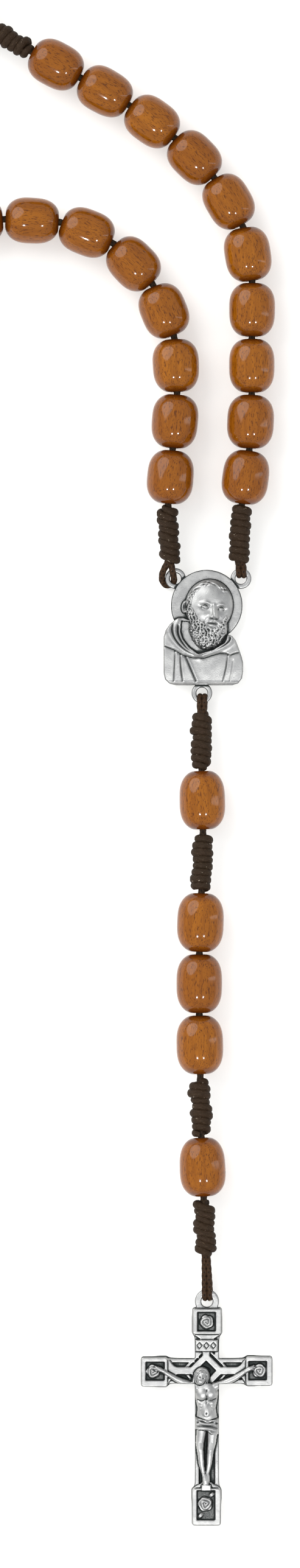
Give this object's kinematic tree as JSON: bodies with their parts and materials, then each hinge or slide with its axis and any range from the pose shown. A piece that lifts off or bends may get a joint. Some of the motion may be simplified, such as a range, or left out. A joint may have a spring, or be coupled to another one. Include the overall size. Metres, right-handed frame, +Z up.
{
  "type": "rosary",
  "caption": "Rosary of turned wooden barrel beads on knotted waxed cord, with a relief centre medal and a crucifix, laid flat with its loop open.",
  "frame": {"origin": "on the flat back of the centre medal, under the middle of its bust, with the rosary lying face up", "axes": "+Z up out of the faces of the medal and crucifix, +Y from the crucifix towards the medal and loop, +X to the viewer's right"},
  "size_m": [0.2326, 0.3193, 0.008],
  "materials": {
    "turned_wood": "honey-brown turned wood under clear lacquer",
    "waxed_cord": "dark brown waxed braided cord",
    "antique_silver": "antique silver plate on cast zinc alloy, black left in the hollows"
  },
  "bodies": {
    "medal": {"medal": "antique_silver"},
    "pendant_1": {"pendant_cord_1": "waxed_cord"},
    "pendant_2": {"pendant_cord_2": "waxed_cord"},
    "pendant_3": {"pendant_cord_3": "waxed_cord"},
    "pendant_4": {"pendant_cord_4": "waxed_cord"},
    "crucifix": {"crucifix": "antique_silver"},
    "loop_1": {"loop_cord_right_1": "waxed_cord", "loop_cord_left_1": "waxed_cord"},
    "loop_2": {"loop_cord_right_2": "waxed_cord", "loop_cord_left_2": "waxed_cord"},
    "loop_3": {"loop_cord_right_3": "waxed_cord", "loop_cord_left_3": "waxed_cord"},
    "loop_far": {"loop_cord_far": "waxed_cord"},
    "pendant_bead_1": {"pendant_bead_1": "turned_wood"},
    "pendant_bead_2": {"pendant_bead_2": "turned_wood"},
    "pendant_bead_3": {"pendant_bead_3": "turned_wood"},
    "pendant_bead_4": {"pendant_bead_4": "turned_wood"},
    "pendant_bead_5": {"pendant_bead_5": "turned_wood"},
    "decade_1_bead_01": {"decade_1_bead_01": "turned_wood"},
    "decade_1_bead_02": {"decade_1_bead_02": "turned_wood"},
    "decade_1_bead_03": {"decade_1_bead_03": "turned_wood"},
    "decade_1_bead_04": {"decade_1_bead_04": "turned_wood"},
    "decade_1_bead_05": {"decade_1_bead_05": "turned_wood"},
    "decade_1_bead_06": {"decade_1_bead_06": "turned_wood"},
    "decade_1_bead_07": {"decade_1_bead_07": "turned_wood"},
    "decade_1_bead_08": {"decade_1_bead_08": "turned_wood"},
    "decade_1_bead_09": {"decade_1_bead_09": "turned_wood"},
    "decade_1_bead_10": {"decade_1_bead_10": "turned_wood"},
    "divider_bead_1": {"divider_bead_1": "turned_wood"},
    "decade_2_beads_01_02": {"decade_2_beads_01_02": "turned_wood"},
    "decade_2_beads_03_04": {"decade_2_beads_03_04": "turned_wood"},
    "decade_2_beads_05_06": {"decade_2_beads_05_06": "turned_wood"},
    "decade_2_beads_07_08": {"decade_2_beads_07_08": "turned_wood"},
    "decade_2_beads_09_10": {"decade_2_beads_09_10": "turned_wood"},
    "divider_bead_2": {"divider_bead_2": "turned_wood"},
    "decade_3_beads_01_02": {"decade_3_beads_01_02": "turned_wood"},
    "decade_3_beads_03_04": {"decade_3_beads_03_04": "turned_wood"},
    "decade_3_beads_05_06": {"decade_3_beads_05_06": "turned_wood"},
    "decade_3_beads_07_08": {"decade_3_beads_07_08": "turned_wood"},
    "decade_3_beads_09_10": {"decade_3_beads_09_10": "turned_wood"},
    "divider_bead_3": {"divider_bead_3": "turned_wood"},
    "decade_4_beads_01_02": {"decade_4_beads_01_02": "turned_wood"},
    "decade_4_beads_03_04": {"decade_4_beads_03_04": "turned_wood"},
    "decade_4_beads_05_06": {"decade_4_beads_05_06": "turned_wood"},
    "decade_4_beads_07_08": {"decade_4_beads_07_08": "turned_wood"},
    "decade_4_beads_09_10": {"decade_4_beads_09_10": "turned_wood"},
    "divider_bead_4": {"divider_bead_4": "turned_wood"},
    "decade_5_bead_01": {"decade_5_bead_01": "turned_wood"},
    "decade_5_bead_02": {"decade_5_bead_02": "turned_wood"},
    "decade_5_bead_03": {"decade_5_bead_03": "turned_wood"},
    "decade_5_bead_04": {"decade_5_bead_04": "turned_wood"},
    "decade_5_bead_05": {"decade_5_bead_05": "turned_wood"},
    "decade_5_bead_06": {"decade_5_bead_06": "turned_wood"},
    "decade_5_bead_07": {"decade_5_bead_07": "turned_wood"},
    "decade_5_bead_08": {"decade_5_bead_08": "turned_wood"},
    "decade_5_bead_09": {"decade_5_bead_09": "turned_wood"},
    "decade_5_bead_10": {"decade_5_bead_10": "turned_wood"}
  },
  "joints": [
    {"name": "pendant_swing", "type": "hinge", "parent": "medal", "child": "pendant_1", "pos_m": [-0.00033, -0.0103, 0.0019], "axis": [0, 0, 1], "range_deg": [-60, 60]},
    {"name": "pendant_bend_1", "type": "hinge", "parent": "pendant_1", "child": "pendant_2", "pos_m": [-0.00015, -0.03407, 0.004], "axis": [0, 0, -1], "range_deg": [-20, 20]},
    {"name": "pendant_bend_2", "type": "hinge", "parent": "pendant_2", "child": "pendant_3", "pos_m": [-0.00061, -0.07626, 0.004], "axis": [0, 0, 1], "range_deg": [-20, 20]},
    {"name": "pendant_bend_3", "type": "hinge", "parent": "pendant_3", "child": "pendant_4", "pos_m": [-0.00002, -0.09735, 0.004], "axis": [0, 0, -1], "range_deg": [-20, 20]},
    {"name": "crucifix_swing", "type": "hinge", "parent": "pendant_4", "child": "crucifix", "pos_m": [0.00054, -0.11537, 0.0019], "axis": [0, 0, -1], "range_deg": [-60, 60]},
    {"name": "loop_lift", "type": "hinge", "parent": "medal", "child": "loop_1", "pos_m": [0.00076, 0.01086, 0.0019], "axis": [1, 0, 0], "range_deg": [0, 60]},
    {"name": "loop_fold_1", "type": "hinge", "parent": "loop_1", "child": "loop_2", "pos_m": [0.00122, 0.0317, 0.004], "axis": [1, -0.0051, 0], "range_deg": [0, 15]},
    {"name": "loop_fold_2", "type": "hinge", "parent": "loop_2", "child": "loop_3", "pos_m": [0.00182, 0.04133, 0.004], "axis": [1, -0.0034, 0], "range_deg": [0, 15]},
    {"name": "loop_fold_3", "type": "hinge", "parent": "loop_3", "child": "loop_far", "pos_m": [0.0016, 0.05101, 0.004], "axis": [1, -0.0079, 0], "range_deg": [0, 15]},
    {"name": "spin_pendant_bead_1", "type": "hinge", "parent": "pendant_1", "child": "pendant_bead_1", "pos_m": [-0.00028, -0.0288, 0.004], "axis": [0.0238, -0.9997, 0], "continuous": true},
    {"name": "spin_pendant_bead_2", "type": "hinge", "parent": "pendant_2", "child": "pendant_bead_2", "pos_m": [-0.0006, -0.04989, 0.004], "axis": [-0.0349, -0.9994, 0], "continuous": true},
    {"name": "spin_pendant_bead_3", "type": "hinge", "parent": "pendant_2", "child": "pendant_bead_3", "pos_m": [-0.00079, -0.06044, 0.004], "axis": [-0.0012, -1, 0], "continuous": true},
    {"name": "spin_pendant_bead_4", "type": "hinge", "parent": "pendant_2", "child": "pendant_bead_4", "pos_m": [-0.0007, -0.07099, 0.004], "axis": [0.018, -0.9998, 0], "continuous": true},
    {"name": "spin_pendant_bead_5", "type": "hinge", "parent": "pendant_3", "child": "pendant_bead_5", "pos_m": [-0.00024, -0.09208, 0.004], "axis": [0.0404, -0.9992, 0], "continuous": true},
    {"name": "spin_decade_1_bead_01", "type": "hinge", "parent": "loop_1", "child": "decade_1_bead_01", "pos_m": [0.00719, 0.02689, 0.004], "axis": [0.1353, 0.9908, 0], "continuous": true},
    {"name": "spin_decade_1_bead_02", "type": "hinge", "parent": "loop_2", "child": "decade_1_bead_02", "pos_m": [0.00805, 0.03649, 0.004], "axis": [0.0429, 0.9991, 0], "continuous": true},
    {"name": "spin_decade_1_bead_03", "type": "hinge", "parent": "loop_3", "child": "decade_1_bead_03", "pos_m": [0.00826, 0.04614, 0.004], "axis": [0.0025, 1, 0], "continuous": true},
    {"name": "spin_decade_1_bead_04", "type": "hinge", "parent": "loop_far", "child": "decade_1_bead_04", "pos_m": [0.00832, 0.05579, 0.004], "axis": [0.0083, 1, 0], "continuous": true},
    {"name": "spin_decade_1_bead_05", "type": "hinge", "parent": "loop_far", "child": "decade_1_bead_05", "pos_m": [0.00757, 0.06537, 0.004], "axis": [-0.163, 0.9866, 0], "continuous": true},
    {"name": "spin_decade_1_bead_06", "type": "hinge", "parent": "loop_far", "child": "decade_1_bead_06", "pos_m": [0.00426, 0.07446, 0.004], "axis": [-0.5103, 0.86, 0], "continuous": true},
    {"name": "spin_decade_1_bead_07", "type": "hinge", "parent": "loop_far", "child": "decade_1_bead_07", "pos_m": [-0.00162, 0.08205, 0.004], "axis": [-0.7047, 0.7095, 0], "continuous": true},
    {"name": "spin_decade_1_bead_08", "type": "hinge", "parent": "loop_far", "child": "decade_1_bead_08", "pos_m": [-0.00894, 0.08828, 0.004], "axis": [-0.8127, 0.5826, 0], "continuous": true},
    {"name": "spin_decade_1_bead_09", "type": "hinge", "parent": "loop_far", "child": "decade_1_bead_09", "pos_m": [-0.01707, 0.09346, 0.004], "axis": [-0.8717, 0.49, 0], "continuous": true},
    {"name": "spin_decade_1_bead_10", "type": "hinge", "parent": "loop_far", "child": "decade_1_bead_10", "pos_m": [-0.02553, 0.0981, 0.004], "axis": [-0.8821, 0.471, 0], "continuous": true},
    {"name": "spin_divider_bead_1", "type": "hinge", "parent": "loop_far", "child": "divider_bead_1", "pos_m": [-0.04312, 0.10801, 0.004], "axis": [-0.8553, 0.5181, 0], "continuous": true},
    {"name": "spin_decade_2_beads_01_02", "type": "hinge", "parent": "loop_far", "child": "decade_2_beads_01_02", "pos_m": [-0.06333, 0.12272, 0.004], "axis": [-0.7754, 0.6315, 0], "continuous": true},
    {"name": "spin_decade_2_beads_03_04", "type": "hinge", "parent": "loop_far", "child": "decade_2_beads_03_04", "pos_m": [-0.07833, 0.13486, 0.004], "axis": [-0.779, 0.627, 0], "continuous": true},
    {"name": "spin_decade_2_beads_05_06", "type": "hinge", "parent": "loop_far", "child": "decade_2_beads_05_06", "pos_m": [-0.09392, 0.14621, 0.004], "axis": [-0.8357, 0.5492, 0], "continuous": true},
    {"name": "spin_decade_2_beads_07_08", "type": "hinge", "parent": "loop_far", "child": "decade_2_beads_07_08", "pos_m": [-0.11096, 0.15504, 0.004], "axis": [-0.9307, 0.3658, 0], "continuous": true},
    {"name": "spin_decade_2_beads_09_10", "type": "hinge", "parent": "loop_far", "child": "decade_2_beads_09_10", "pos_m": [-0.12948, 0.16007, 0.004], "axis": [-0.9879, 0.1552, 0], "continuous": true},
    {"name": "spin_divider_bead_2", "type": "hinge", "parent": "loop_far", "child": "divider_bead_2", "pos_m": [-0.15435, 0.16093, 0.004], "axis": [-0.993, -0.1179, 0], "continuous": true},
    {"name": "spin_decade_3_beads_01_02", "type": "hinge", "parent": "loop_far", "child": "decade_3_beads_01_02", "pos_m": [-0.17835, 0.15435, 0.004], "axis": [-0.9241, -0.3821, 0], "continuous": true},
    {"name": "spin_decade_3_beads_03_04", "type": "hinge", "parent": "loop_far", "child": "decade_3_beads_03_04", "pos_m": [-0.19496, 0.14477, 0.004], "axis": [-0.7936, -0.6084, 0], "continuous": true},
    {"name": "spin_decade_3_beads_05_06", "type": "hinge", "parent": "loop_far", "child": "decade_3_beads_05_06", "pos_m": [-0.20804, 0.13075, 0.004], "axis": [-0.5522, -0.8337, 0], "continuous": true},
    {"name": "spin_decade_3_beads_07_08", "type": "hinge", "parent": "loop_far", "child": "decade_3_beads_07_08", "pos_m": [-0.21518, 0.11299, 0.004], "axis": [-0.1781, -0.984, 0], "continuous": true},
    {"name": "spin_decade_3_beads_09_10", "type": "hinge", "parent": "loop_far", "child": "decade_3_beads_09_10", "pos_m": [-0.21425, 0.0939, 0.004], "axis": [0.2726, -0.9621, 0], "continuous": true},
    {"name": "spin_divider_bead_3", "type": "hinge", "parent": "loop_far", "child": "divider_bead_3", "pos_m": [-0.20169, 0.07278, 0.004], "axis": [0.7639, -0.6453, 0], "continuous": true},
    {"name": "spin_decade_4_beads_01_02", "type": "hinge", "parent": "loop_far", "child": "decade_4_beads_01_02", "pos_m": [-0.17949, 0.06192, 0.004], "axis": [0.9648, -0.2628, 0], "continuous": true},
    {"name": "spin_decade_4_beads_03_04", "type": "hinge", "parent": "loop_far", "child": "decade_4_beads_03_04", "pos_m": [-0.16057, 0.05851, 0.004], "axis": [0.9959, -0.0907, 0], "continuous": true},
    {"name": "spin_decade_4_beads_05_06", "type": "hinge", "parent": "loop_far", "child": "decade_4_beads_05_06", "pos_m": [-0.14131, 0.05762, 0.004], "axis": [1, -0.0015, 0], "continuous": true},
    {"name": "spin_decade_4_beads_07_08", "type": "hinge", "parent": "loop_far", "child": "decade_4_beads_07_08", "pos_m": [-0.12204, 0.05824, 0.004], "axis": [0.9978, 0.0665, 0], "continuous": true},
    {"name": "spin_decade_4_beads_09_10", "type": "hinge", "parent": "loop_far", "child": "decade_4_beads_09_10", "pos_m": [-0.10287, 0.06033, 0.004], "axis": [0.9886, 0.1503, 0], "continuous": true},
    {"name": "spin_divider_bead_4", "type": "hinge", "parent": "loop_far", "child": "divider_bead_4", "pos_m": [-0.07825, 0.06482, 0.004], "axis": [0.9779, 0.2091, 0], "continuous": true},
    {"name": "spin_decade_5_bead_01", "type": "hinge", "parent": "loop_far", "child": "decade_5_bead_01", "pos_m": [-0.0584, 0.0685, 0.004], "axis": [0.9872, 0.1593, 0], "continuous": true},
    {"name": "spin_decade_5_bead_02", "type": "hinge", "parent": "loop_far", "child": "decade_5_bead_02", "pos_m": [-0.04886, 0.06995, 0.004], "axis": [0.99, 0.1412, 0], "continuous": true},
    {"name": "spin_decade_5_bead_03", "type": "hinge", "parent": "loop_far", "child": "decade_5_bead_03", "pos_m": [-0.03927, 0.07104, 0.004], "axis": [0.9965, 0.0841, 0], "continuous": true},
    {"name": "spin_decade_5_bead_04", "type": "hinge", "parent": "loop_far", "child": "decade_5_bead_04", "pos_m": [-0.02964, 0.0712, 0.004], "axis": [0.9987, -0.051, 0], "continuous": true},
    {"name": "spin_decade_5_bead_05", "type": "hinge", "parent": "loop_far", "child": "decade_5_bead_05", "pos_m": [-0.02021, 0.06915, 0.004], "axis": [0.9297, -0.3683, 0], "continuous": true},
    {"name": "spin_decade_5_bead_06", "type": "hinge", "parent": "loop_far", "child": "decade_5_bead_06", "pos_m": [-0.01216, 0.06374, 0.004], "axis": [0.6926, -0.7213, 0], "continuous": true},
    {"name": "spin_decade_5_bead_07", "type": "hinge", "parent": "loop_far", "child": "decade_5_bead_07", "pos_m": [-0.0069, 0.05561, 0.004], "axis": [0.3737, -0.9275, 0], "continuous": true},
    {"name": "spin_decade_5_bead_08", "type": "hinge", "parent": "loop_3", "child": "decade_5_bead_08", "pos_m": [-0.00484, 0.04618, 0.004], "axis": [0.0472, -0.9989, 0], "continuous": true},
    {"name": "spin_decade_5_bead_09", "type": "hinge", "parent": "loop_2", "child": "decade_5_bead_09", "pos_m": [-0.005, 0.03655, 0.004], "axis": [-0.0809, -0.9967, 0], "continuous": true},
    {"name": "spin_decade_5_bead_10", "type": "hinge", "parent": "loop_1", "child": "decade_5_bead_10", "pos_m": [-0.0058, 0.02693, 0.004], "axis": [-0.0835, -0.9965, 0], "continuous": true}
  ]
}
